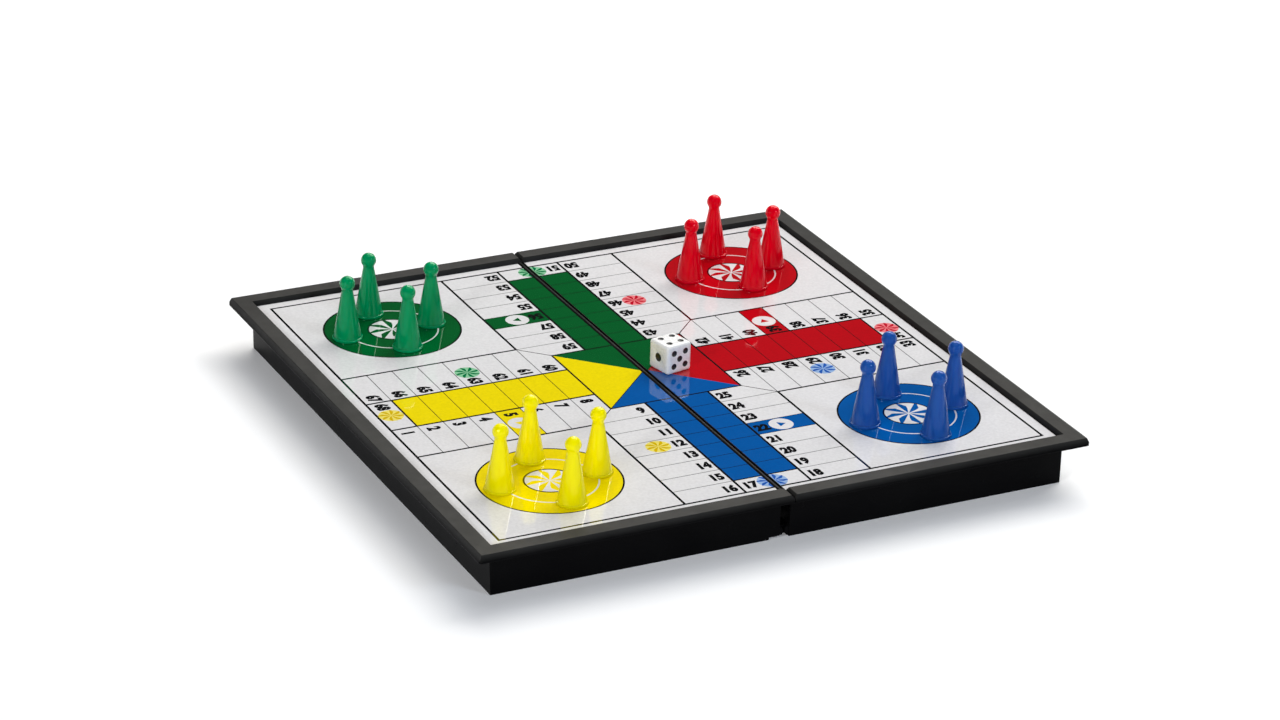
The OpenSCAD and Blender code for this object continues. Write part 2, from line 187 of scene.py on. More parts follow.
class ShaderGraph:
    """The node tree of one finish, built a link at a time."""

    NOISE_SPAN: Span = (0.3, 0.7)
    EDGE_SAMPLES = 6

    def __init__(self, name: str) -> None:
        """Starts a material with one Principled shader.

        Args:
            name: The material's name.
        """
        self.material = bpy.data.materials.new(name)
        self.material.use_nodes = True
        self.tree = self.material.node_tree
        self.tree.nodes.clear()
        self.shader = self.node("ShaderNodeBsdfPrincipled")
        self.output = self.node("ShaderNodeOutputMaterial", {"Surface": self.shader.outputs[0]})
        self.place = self.node("ShaderNodeTexCoord").outputs["Object"]

    def node(
        self, kind: str, sources: Optional[dict[str | int, Socket]] = None, **values: object
    ) -> bpy.types.Node:
        """Adds a node, links its inputs and sets its constants.

        Args:
            kind: Its type.
            sources: What its inputs are linked to, by name or place.
            **values: Constants of its inputs, named in lower case with underscores.

        Returns:
            The new node.
        """
        made = self.tree.nodes.new(kind)
        self.fill(made, **values)
        for name, source in (sources or {}).items():
            self.tree.links.new(source, made.inputs[name])
        return made

    @staticmethod
    def fill(node: bpy.types.Node, **values: object) -> None:
        """Sets constants straight on a node's inputs, the first of those that share a name.

        Args:
            node: The node.
            **values: The constants, named as for a new node.
        """
        for name, value in values.items():
            matches = (s for s in node.inputs if s.name.lower().replace(" ", "_") == name)
            next(matches).default_value = value

    def feed(self, name: str, source: Socket) -> None:
        """Links a source to one of the shader's inputs."""
        self.tree.links.new(source, self.shader.inputs[name])

    def noise(self, noise: Noise) -> Socket:
        """Adds a noise.

        Args:
            noise: Which one.

        Returns:
            The noise's value, from 0 to 1.
        """
        place = self.place
        if noise.axis is not None:
            squeeze = self.node("ShaderNodeMapping", {"Vector": place}, scale=noise.axis.value)
            place = squeeze.outputs["Vector"]
        sizes = {"scale": 1 / (noise.size * MM), "detail": noise.detail}
        return self.node("ShaderNodeTexNoise", {"Vector": place}, **sizes).outputs["Fac"]

    def remap(self, source: Socket, start: Span, end: Span) -> Socket:
        """Stretches one range of values over another, and holds its ends beyond them."""
        ends = dict(from_min=start[0], from_max=start[1], to_min=end[0], to_max=end[1])
        return self.node("ShaderNodeMapRange", {"Value": source}, **ends).outputs["Result"]

    def between(self, source: Socket, span: Span) -> Socket:
        """Spreads the middle of a noise over a range of values."""
        return self.remap(source, self.NOISE_SPAN, span)

    def tones(self, source: Socket, colours: Sequence[Rgb]) -> Socket:
        """Turns a noise into a run of colours.

        Args:
            source: The noise.
            colours: Screen colours from the noise's low end to its high end.

        Returns:
            The colour.
        """
        made = self.node("ShaderNodeValToRGB", {"Fac": source})
        stops = made.color_ramp.elements
        ready = len(stops)
        low, high = self.NOISE_SPAN
        step = (high - low) / (len(colours) - 1)
        for index, colour in enumerate(colours):
            place = low + step * index
            stop = stops[index] if index < ready else stops.new(place)
            stop.position = place
            stop.color = linear(colour)
        return made.outputs["Color"]

    def rise(self, heights: Span, values: Span = (0.0, 1.0)) -> Socket:
        """Goes from one value to another between two heights on the piece."""
        up = self.node("ShaderNodeSeparateXYZ", {"Vector": self.place}).outputs["Z"]
        return self.remap(up, (heights[0] * MM, heights[1] * MM), values)

    def blend(self, share: Socket, first: Socket, second: Socket) -> Socket:
        """Blends two colours or two values.

        Args:
            share: How much of the second, from 0 to 1.
            first: The first colour or value.
            second: The second one, of the same kind.

        Returns:
            The blend.
        """
        made = self.node("ShaderNodeMix", {"Factor": share})
        made.data_type = "RGBA" if first.type == "RGBA" else "FLOAT"
        alike = [s for s in made.inputs if s.type == first.type]
        for name, source in (("A", first), ("B", second)):
            self.tree.links.new(source, next(s for s in alike if s.name == name))
        return next(s for s in made.outputs if s.type == first.type)

    def reckon(self, operation: str, first: Socket, second: Socket) -> Socket:
        """Works out one value from two.

        Args:
            operation: What to do with them.
            first: The first value.
            second: The second value.

        Returns:
            The result.
        """
        made = self.node("ShaderNodeMath", {0: first, 1: second})
        made.operation = operation
        return made.outputs[0]

    def relief(self, relief: Relief, under: Optional[Socket] = None) -> Socket:
        """Adds fine relief to the surface's normal.

        Args:
            relief: The relief.
            under: The normal that it lies on.

        Returns:
            The new normal.
        """
        sources = {"Height": self.noise(relief.noise)}
        if under is not None:
            sources["Normal"] = under
        sizes = {"distance": relief.depth * MM, "strength": relief.strength}
        return self.node("ShaderNodeBump", sources, **sizes).outputs["Normal"]

    def soft_edges(self, radius: float) -> Socket:
        """The normal with every hard edge rounded.

        Args:
            radius: The edges' radius.

        Returns:
            The normal.
        """
        made = self.node("ShaderNodeBevel", radius=radius * MM)
        made.samples = self.EDGE_SAMPLES
        return made.outputs["Normal"]


@dataclass(frozen=True, eq=False)
class WornFinish:
    """A finish whose colour, roughness and relief each follow a noise."""

    name: str
    colours: tuple[Rgb, ...]
    mottle: Noise
    smear: Noise
    roughness: Span
    relief: Optional[Relief] = None
    constants: dict[str, object] = field(default_factory=dict)

    def material(self) -> bpy.types.Material:
        """Builds the material.

        Returns:
            The material.
        """
        graph = ShaderGraph(self.name)
        graph.feed("Base Color", graph.tones(graph.noise(self.mottle), self.colours))
        graph.feed("Roughness", graph.between(graph.noise(self.smear), self.roughness))
        if self.relief is not None:
            graph.feed("Normal", graph.relief(self.relief))
        graph.fill(graph.shader, **self.constants)
        return graph.material


@dataclass(frozen=True)
class MouldedBlack:
    """Black moulded plastic: a grained rim over smooth, deep black walls, the rim's lighter colour
    being painted light on the top of the moulding.
    """

    name: str = "moulded black plastic"
    cloud: Noise = Noise(22, 4)
    smear: Noise = Noise(6, 5)
    grain: Relief = Relief(Noise(0.35, 3), depth=0.012, strength=0.5)
    wall: tuple[Rgb, Rgb] = ((6, 6, 7), (10, 10, 11))
    wall_roughness: Span = (0.2, 0.28)
    # Rim colour: painted light, the same black plastic painted lighter where light falls on the
    # top.
    rim: tuple[Rgb, Rgb] = ((32, 32, 31), (39, 39, 38))
    rim_roughness: Span = (0.46, 0.54)
    rim_heights: Span = (17.8, 20.2)
    gloss: Span = (0.03, 0.11)
    edge_radius: float = 0.3
    ior: float = 1.5

    def material(self) -> bpy.types.Material:
        """Builds the material, which goes from wall to rim between two heights; the rim's lighter
        colour is painted light on the top.

        Returns:
            The material.
        """
        graph = ShaderGraph(self.name)
        cloud, smear = graph.noise(self.cloud), graph.noise(self.smear)
        share = graph.rise(self.rim_heights)
        wall_and_painted_lit_rim_tones = [graph.tones(cloud, colours) for colours in (self.wall, self.rim)]
        polish = [graph.between(smear, s) for s in (self.wall_roughness, self.rim_roughness)]
        # Base colour: deep black walls rising to the rim's painted light between the two heights.
        graph.feed("Base Color", graph.blend(share, *wall_and_painted_lit_rim_tones))
        graph.feed("Roughness", graph.blend(share, *polish))
        graph.feed("Specular IOR Level", graph.rise(self.rim_heights, self.gloss))
        graph.feed("Normal", graph.relief(self.grain, graph.soft_edges(self.edge_radius)))
        graph.fill(graph.shader, ior=self.ior)
        return graph.material


Finish = WornFinish | MouldedBlack


def laminated_ink(ink: Ink) -> WornFinish:
    """One ink of the print, under a clear glossy film.

    Args:
        ink: The ink.

    Returns:
        The finish.
    """
    return WornFinish(
        name="print " + ink.name.lower().replace("_", " "),
        colours=(shade(ink.value, 0.975), shade(ink.value, 1.02)),
        mottle=Noise(1.1, 4),
        smear=Noise(9, 3),
        roughness=(0.03, 0.06),
        relief=Relief(Noise(7, 1), depth=0.012, strength=0.25),
        constants={"ior": 1.5, "specular_ior_level": 0.6},
    )


def pawn_plastic(house: House, colour: Rgb, deep: Rgb) -> WornFinish:
    """Tinted see-through plastic of the pawns, with faint flow streaks up the body.

    Args:
        house: Whose pawns they are.
        colour: The plastic's colour.
        deep: Its colour in the darkest streaks.

    Returns:
        The finish.
    """
    white_share = 0.2
    tint = [white_share + (1 - white_share) * level for level in linear(colour)[:3]]
    return WornFinish(
        name=f"{house.value} pawn plastic",
        colours=(deep, colour, colour),
        mottle=Noise(1.3, 3, Axis.ALONG_Z),
        smear=Noise(2.5, 4),
        roughness=(0.03, 0.07),
        relief=Relief(Noise(1.6, 2), depth=0.01, strength=0.3),
        constants={
            "ior": 1.49,
            "specular_ior_level": 0.7,
            "specular_tint": (*tint, 1.0),
            "transmission_weight": 0.05,
            "subsurface_weight": 0.8,
            "subsurface_radius": (0.004, 0.004, 0.004),
            "subsurface_scale": 1.0,
        },
    )


def metal(
    name: str, colours: tuple[Rgb, Rgb], roughness: Span, axis: Optional[Axis] = None
) -> WornFinish:
    """A metal with a drawn or rolled grain.

    Args:
        name: The finish's name.
        colours: Its darker and its lighter colour.
        roughness: Its range of roughness.
        axis: The way its grain runs.

    Returns:
        The finish.
    """
    grain = Noise(0.3, 4, axis)
    relief = Relief(grain, depth=0.004, strength=0.4)
    return WornFinish(name, colours, grain, grain, roughness, relief, {"metallic": 1.0})


PAWN_FINISHES = {
    House.BLUE: pawn_plastic(House.BLUE, (30, 84, 164), (27, 80, 158)),
    House.RED: pawn_plastic(House.RED, (222, 0, 28), (216, 0, 26)),
    House.GREEN: pawn_plastic(House.GREEN, (0, 148, 92), (0, 144, 88)),
    House.YELLOW: pawn_plastic(House.YELLOW, (255, 236, 0), (255, 232, 0)),
}
DIE_RESIN = WornFinish(
    name="die white resin",
    colours=(shade((236, 237, 238), 0.985), (236, 237, 238)),
    mottle=Noise(2.2, 4),
    smear=Noise(1.2, 4),
    roughness=(0.22, 0.34),
    relief=Relief(Noise(0.6, 2), depth=0.006, strength=0.3),
    constants={
        "ior": 1.5,
        "subsurface_weight": 0.15,
        "subsurface_radius": (0.0012, 0.0012, 0.0012),
        "subsurface_scale": 1.0,
    },
)
PIP_PAINT = WornFinish(
    name="die pip paint",
    colours=((8, 8, 10), (18, 18, 20)),
    mottle=Noise(0.5),
    smear=Noise(0.4),
    roughness=(0.25, 0.4),
    constants={"ior": 1.5},
)
FERRITE = WornFinish(
    name="magnet ferrite",
    colours=((34, 33, 34), (62, 60, 60)),
    mottle=Noise(0.25, 5),
    smear=Noise(0.25, 5),
    roughness=(0.55, 0.75),
    relief=Relief(Noise(0.25, 5), depth=0.02, strength=0.5),
    constants={"ior": 1.6},
)
MOULDED_BLACK = MouldedBlack()
ROLLED_STEEL = metal(
    "rolled steel sheet", ((120, 122, 126), (156, 158, 162)), (0.3, 0.45), Axis.ALONG_Y
)
DRAWN_STEEL = metal(
    "drawn steel pin", ((150, 150, 152), (190, 190, 192)), (0.2, 0.32), Axis.ALONG_Y
)
NICKEL = metal("nickel plate", ((176, 172, 164), (206, 202, 194)), (0.12, 0.24))


@dataclass(frozen=True)
class Shape:
    """A closed outline of the print and the ink inside it."""

    points: tuple[Point, ...]
    ink: Ink

    def moved(self, turns: int, shift: float) -> "Shape":
        """Turns the shape by quarter turns about the board's middle, then shifts it along X.

        Args:
            turns: Quarter turns, seen from above, against the clock.
            shift: How far along X.

        Returns:
            The moved shape.
        """
        points = self.points
        for _ in range(turns):
            points = tuple((-y, x) for x, y in points)
        return Shape(tuple((x + shift, y) for x, y in points), self.ink)


def rectangle(x0: float, y0: float, x1: float, y1: float, ink: Ink) -> Shape:
    """A rectangle from one corner to the other."""
    return Shape(((x0, y0), (x1, y0), (x1, y1), (x0, y1)), ink)


def disc(centre: Point, radius: float, ink: Ink, sides: int) -> Shape:
    """A round disc of the print."""
    points = ((centre[0] + radius * x, centre[1] + radius * y) for x, y in circle(sides))
    return Shape(tuple(points), ink)


def line(start: Point, end: Point, width: float, ink: Ink) -> Shape:
    """A ruled line with square ends.

    Args:
        start: Its first end, at the middle of its width.
        end: Its other end.
        width: Its width.
        ink: Its ink.

    Returns:
        The line as a long rectangle.
    """
    along = (Vector(end) - Vector(start)).normalized()
    side = Vector((-along.y, along.x)) * width / 2
    ends = (Vector(start), Vector(end))
    corners = (ends[0] - side, ends[1] - side, ends[1] + side, ends[0] + side)
    return Shape(tuple((corner.x, corner.y) for corner in corners), ink)


def divide(outlines: Iterable[Sequence[Point]]) -> tuple[list[Vector], list[tuple]]:
    """Divides the plane by closed outlines that may cross.

    Args:
        outlines: The corners of each outline.

    Returns:
        The corners of the parts, and for each part the indices of its corners and of the outlines
        that it lies in.
    """
    inside_only, weld = 1, 1e-5
    points: list[Vector] = []
    loops: list[list[int]] = []
    for outline in outlines:
        loops.append(list(range(len(points), len(points) + len(outline))))
        points += [Vector(point) for point in outline]
    corners, _, parts, _, _, sources = delaunay_2d_cdt(points, [], loops, inside_only, weld, True)
    return corners, list(zip(parts, sources))


def bridge(form: bmesh.types.BMesh, low: Ring, high: Ring, slot: int = 0) -> None:
    """Joins two rings by faces.

    Args:
        form: The mesh.
        low: One ring against the clock, or a single corner as a pole.
        high: The other, likewise.
        slot: Material slot of the faces.
    """
    sides = max(len(low), len(high))
    for side in range(sides):
        ahead = (side + 1) % sides
        places = ((low, side), (low, ahead), (high, ahead), (high, side))
        corners = dict.fromkeys(ring[place % len(ring)] for ring, place in places)
        form.faces.new(list(corners)).material_index = slot


def make_object(
    name: str, form: bmesh.types.BMesh, finishes: Iterable[bpy.types.Material]
) -> bpy.types.Object:
    """Turns a form into an object of the scene.

    Args:
        name: The object's name.
        form: Its corners and faces in metres, which are freed.
        finishes: Its materials, in slot order.

    Returns:
        The object.
    """
    mesh = bpy.data.meshes.new(name)
    form.to_mesh(mesh)
    form.free()
    for finish in finishes:
        mesh.materials.append(finish)
    made = bpy.data.objects.new(name, mesh)
    bpy.context.scene.collection.objects.link(made)
    return made


def make_piece(
    name: str,
    form: bmesh.types.BMesh,
    body: str,
    finishes: Iterable[bpy.types.Material],
    smooth_angle: Optional[float] = None,
) -> bpy.types.Object:
    """Turns a form into a piece that rides on a body.

    Args:
        name: The piece's name.
        form: Its corners and faces in metres, which are freed.
        body: The body that it rides on.
        finishes: Its materials, in slot order.
        smooth_angle: Edges flatter than this many degrees are shaded smooth.

    Returns:
        The new object.
    """
    if smooth_angle is not None:
        limit = math.radians(smooth_angle)
        for face in form.faces:
            face.smooth = True
        for edge in form.edges:
            edge.smooth = len(edge.link_faces) == 2 and edge.calc_face_angle(0.0) < limit
    made = make_object(name, form, finishes)
    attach(made, body)
    return made


@dataclass(frozen=True)
class Numerals:
    """Bold upright numerals, struck twice a little apart and filled as small triangles."""

    height: float = 5.0
    narrow: float = 0.8
    weight: float = 0.058
    strike: float = 0.16
    spacing: float = 1.02
    cap_height: float = 0.729
    curve_steps: int = 2
    least_area: float = 1e-6

    def triangles(self, text: str) -> list[tuple[Point, ...]]:
        """Sets a number about the origin.

        Args:
            text: The number.

        Returns:
            The triangles that fill it, each against the clock.
        """
        curve = bpy.data.curves.new("numeral", "FONT")
        curve.body = text
        curve.align_x = "CENTER"
        curve.resolution_u = self.curve_steps
        curve.offset = self.weight
        curve.space_character = self.spacing
        setter = bpy.data.objects.new("numeral", curve)
        mesh = setter.to_mesh()
        scale = self.height / self.cap_height
        mesh.calc_loop_triangles()
        found = []
        for shift in (-self.strike / 2, self.strike / 2):
            places = [
                (v.co.x * scale * self.narrow + shift, (v.co.y - self.cap_height / 2) * scale)
                for v in mesh.vertices
            ]
            for triangle in mesh.loop_triangles:
                a, b, c = (places[i] for i in triangle.vertices)
                area = (b[0] - a[0]) * (c[1] - a[1]) - (b[1] - a[1]) * (c[0] - a[0])
                if abs(area) > self.least_area:
                    found.append((a, b, c) if area > 0 else (a, c, b))
        setter.to_mesh_clear()
        bpy.data.objects.remove(setter)
        bpy.data.curves.remove(curve)
        return found


@dataclass
class PrintLayout:
    """The parchis form of the board, drawn round its own middle and split at the fold."""

    lane: float = 25.0
    cell: float = 10.6
    cells: int = 8
    rosette_row: int = 3
    fold_shift: float = 1.0
    border: float = 1.0
    fine: float = 0.38
    inner_share: float = 0.8
    diagonal: float = 0.45
    first_number: int = 9
    number_inset: float = 4.3
    cell_rosette: float = 4.9
    rosette_overlap: float = 1.02
    rosette_twists: tuple[float, float] = (10.0, 30.0)
    start_disc: float = 4.8
    arrow: tuple[Point, ...] = ((-1.1, 1.9), (-1.1, -1.9), (2.0, 0.0))
    small_sides: int = 40
    house_disc: float = 26.9
    house_sides: int = 120
    house_ring: float = 18.2
    ring_width: float = 0.65
    ring_sides: int = 96
    hub_disc: float = 9.3
    hub_sides: int = 64
    outline: float = 0.7
    blades: int = 8
    sail: tuple[Point, ...] = ((0.04, 0), (0.46, -23), (0.7, -20), (1.0, -4), (1.0, 3), (0.5, 4))
    numerals: Numerals = field(default_factory=Numerals)

    @property
    def half_lane(self) -> float:
        """From the board's middle line to the side of a lane."""
        return self.lane / 2

    @property
    def column(self) -> float:
        """From the middle line to the outside of the side columns."""
        return self.lane * 1.5

    @property
    def middle(self) -> float:
        """From the board's middle to the foot of each middle triangle."""
        return self.column - self.cell

    @property
    def edge(self) -> float:
        """From the board's middle to its frame line."""
        return self.middle + self.cells * self.cell

    def row(self, index: float) -> float:
        """How far out a row of cells begins."""
        return self.middle + self.cell * index

    def rosette(
        self, centre: Point, radius: float, ink: Ink, twist: float = 0.0
    ) -> Iterator[Shape]:
        """Eight sails, each a straight ray with its belly on the clockwise side.

        Args:
            centre: Its middle.
            radius: Reach of the sails, whose outline is given by share of it and degrees.
            ink: Ink of the sails.
            twist: Turn of the whole figure in degrees.

        Yields:
            One shape for each sail.
        """
        for blade in range(self.blades):
            turn = math.radians(twist) + math.tau * blade / self.blades
            corners = []
            for share, lean in self.sail:
                reach, angle = radius * share, turn + math.radians(lean)
                x, y = centre[0] + reach * math.cos(angle), centre[1] + reach * math.sin(angle)
                corners.append((x, y))
            yield Shape(tuple(corners), ink)

    def fields(self, house: House) -> Iterator[Shape]:
        """The coloured grounds of one arm, drawn as the front arm.

        Args:
            house: The arm's colour.

        Yields:
            The middle triangle, the lane and the start cell.
        """
        full = Ink.full(house)
        middle = self.middle
        yield Shape(((0.0, 0.0), (-middle, -middle), (middle, -middle)), full)
        yield rectangle(-self.half_lane, -self.row(self.cells - 1), self.half_lane, -middle, full)
        top, foot = -self.row(self.rosette_row), -self.row(self.rosette_row + 1)
        yield rectangle(self.half_lane, foot, self.column, top, full)

    def rules(self, house: House) -> Iterator[Shape]:
        """The ruled lines of one arm and of the house to its right.

        Args:
            house: The arm's colour.

        Yields:
            The lines.
        """
        half, column, middle, edge = self.half_lane, self.column, self.middle, self.edge
        own_rows = (self.rosette_row, self.rosette_row + 1)
        for index in range(1, self.cells):
            depth = -self.row(index)
            yield line((-column, depth), (-half, depth), self.fine, Ink.GREY)
            if index < self.cells - 1:
                yield line((-half, depth), (half, depth), self.fine * self.inner_share, Ink.BLACK)
            own = index in own_rows
            yield line((half, depth), (column, depth), self.fine, Ink.BLACK if own else Ink.GREY)
        yield line((middle, -middle), (column, -column), self.diagonal, Ink.BLACK)
        inner = self.border * self.inner_share
        yield line((-middle, -middle), (middle, -middle), inner, Ink.BLACK)
        if house is House.BLUE:
            yield line((0.0, 0.0), (-middle, -middle), self.fine, Ink.BLACK)
        last = -self.row(self.cells - 1)
        yield line((-half, last), (half, last), inner, Ink.BLACK)
        for side in (-1, 1):
            yield line((side * half, -middle), (side * half, -edge), self.border, Ink.BLACK)
            yield line((side * column, -column), (side * column, -edge), self.border, Ink.BLACK)
        reach = edge + self.border / 2
        yield line((-reach, -edge), (reach, -edge), self.border, Ink.BLACK)

    def marks(self, house: House) -> Iterator[Shape]:
        """The rosettes, the start disc and its arrow of one arm.

        Args:
            house: The arm's colour.

        Yields:
            The shapes, the lowest first.
        """
        side = (self.half_lane + self.column) / 2
        row = -self.row(self.rosette_row + 0.5)
        end = -self.row(self.cells - 0.5)
        rosettes = (((-side, row), house.before), ((0.0, end), house))
        for (centre, colour), twist in zip(rosettes, self.rosette_twists):
            yield disc(centre, self.cell_rosette, Ink.pale(colour), self.small_sides)
            reach = self.cell_rosette * self.rosette_overlap
            yield from self.rosette(centre, reach, Ink.mid(colour), twist)
        yield disc((side, row), self.start_disc, Ink.PAPER, self.small_sides)
        yield Shape(tuple((side + x, row + y) for x, y in self.arrow), Ink.full(house))

    def home(self, house: House) -> Iterator[Shape]:
        """The round house to the right of an arm, with its ring and pinwheel.

        Args:
            house: The arm's colour.

        Yields:
            The shapes, the lowest first.
        """
        middle = (self.column + self.edge) / 2
        centre = (middle, -middle)
        full = Ink.full(house)
        yield disc(centre, self.house_disc + self.outline, Ink.BLACK, self.house_sides)
        yield disc(centre, self.house_disc, full, self.house_sides)
        yield disc(centre, self.house_ring + self.ring_width / 2, Ink.PAPER, self.ring_sides)
        yield disc(centre, self.house_ring - self.ring_width / 2, full, self.ring_sides)
        yield disc(centre, self.hub_disc + self.outline, Ink.BLACK, self.hub_sides)
        yield disc(centre, self.hub_disc, Ink.PAPER, self.hub_sides)
        yield from self.rosette(centre, self.hub_disc, full)

    def numbers(self, house: House) -> Iterator[Shape]:
        """The cell numbers of one arm, tops towards the board's middle.

        Args:
            house: The arm's colour.

        Yields:
            The triangles that fill the numbers.
        """
        arm_numbers = 2 * self.cells + 1
        total = len(House) * arm_numbers
        first = self.first_number + arm_numbers * house.arm
        beside = self.half_lane + self.number_inset
        places = [(-beside, self.row(i + 0.5)) for i in range(self.cells)]
        places.append((-self.half_lane + self.number_inset, self.row(self.cells - 0.5)))
        places += [(beside, self.row(self.cells - 0.5 - i)) for i in range(self.cells)]
        for offset, (across, out) in enumerate(places):
            number = (first + offset - 1) % total + 1
            for corners in self.numerals.triangles(str(number)):
                yield Shape(tuple((x + across, y - out) for x, y in corners), Ink.BLACK)

    def shapes(self, side: int) -> Iterator[Shape]:
        """Every shape of the print in the order it is laid down.

        Args:
            side: -1 for the left half, 1 for the right half.

        Yields:
            The shapes, moved to their places on that half.
        """
        shift = side * self.fold_shift
        for layer in (self.fields, self.home, self.rules, self.marks, self.numbers):
            for house in House:
                for shape in layer(house):
                    yield shape.moved(house.arm, shift)


@dataclass
class PrintedSheet:
    """One half of the print: a closed sheet whose top is divided among the inks."""

    side: int
    layout: PrintLayout
    inks: dict[Ink, bpy.types.Material]

    @property
    def half(self) -> str:
        """Which half it is."""
        return "left" if self.side < 0 else "right"

    @property
    def node(self) -> str:
        """The solid that it stands for."""
        return f"printed_face_{self.half}"

    def build(self) -> bpy.types.Object:
        """Divides the sheet's top by the print and closes the sheet below it.

        Returns:
            The dressed sheet.
        """
        low, high = (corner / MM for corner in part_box(self.node))
        layers = [rectangle(low.x, low.y, high.x, high.y, Ink.PAPER)]
        for shape in self.layout.shapes(self.side):
            xs = [x for x, _ in shape.points]
            if max(xs) > low.x and min(xs) < high.x:
                layers.append(shape)
        corners, parts = divide(layer.points for layer in layers)
        form = bmesh.new()
        top = [form.verts.new((c.x * MM, c.y * MM, high.z * MM)) for c in corners]
        order = list(self.inks)
        for part, sources in parts:
            on_paper = 0 in sources
            if on_paper:
                made = form.faces.new([top[i] for i in part])
                made.material_index = order.index(layers[max(sources)].ink)
        self.close(form, low.z * MM)
        return make_piece(f"print_{self.half}", form, f"{self.half}_half", self.inks.values())

    @staticmethod
    def close(form: bmesh.types.BMesh, bottom: float) -> None:
        """Adds the sheet's sides and underside.

        Args:
            form: The sheet's mesh, with only its top so far.
            bottom: Height of the underside in metres.
        """
        loose = [vert for vert in form.verts if not vert.link_faces]
        bmesh.ops.delete(form, geom=loose, context="VERTS")
        loops = (loop for face in form.faces for loop in face.loops)
        rim = [loop for loop in loops if len(loop.edge.link_faces) == 1]
        after = {loop.vert: loop.link_loop_next.vert for loop in rim}
        ring = [rim[0].vert]
        while after[ring[-1]] is not ring[0]:
            ring.append(after[ring[-1]])
        below = [form.verts.new((vert.co.x, vert.co.y, bottom)) for vert in ring]
        bridge(form, below, ring)
        form.faces.new(list(reversed(below)))


@dataclass
class PrintedBoard:
    """Both printed sheets."""

    layout: PrintLayout = field(default_factory=PrintLayout)

    def build(self) -> list[bpy.types.Object]:
        """Builds both sheets in place of their plain solids.

        Returns:
            The sheets.
        """
        inks = {ink: laminated_ink(ink).material() for ink in Ink}
        made = []
        for side in (-1, 1):
            sheet = PrintedSheet(side, self.layout, inks)
            piece = sheet.build()
            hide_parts(sheet.node)
            made.append(piece)
        return made


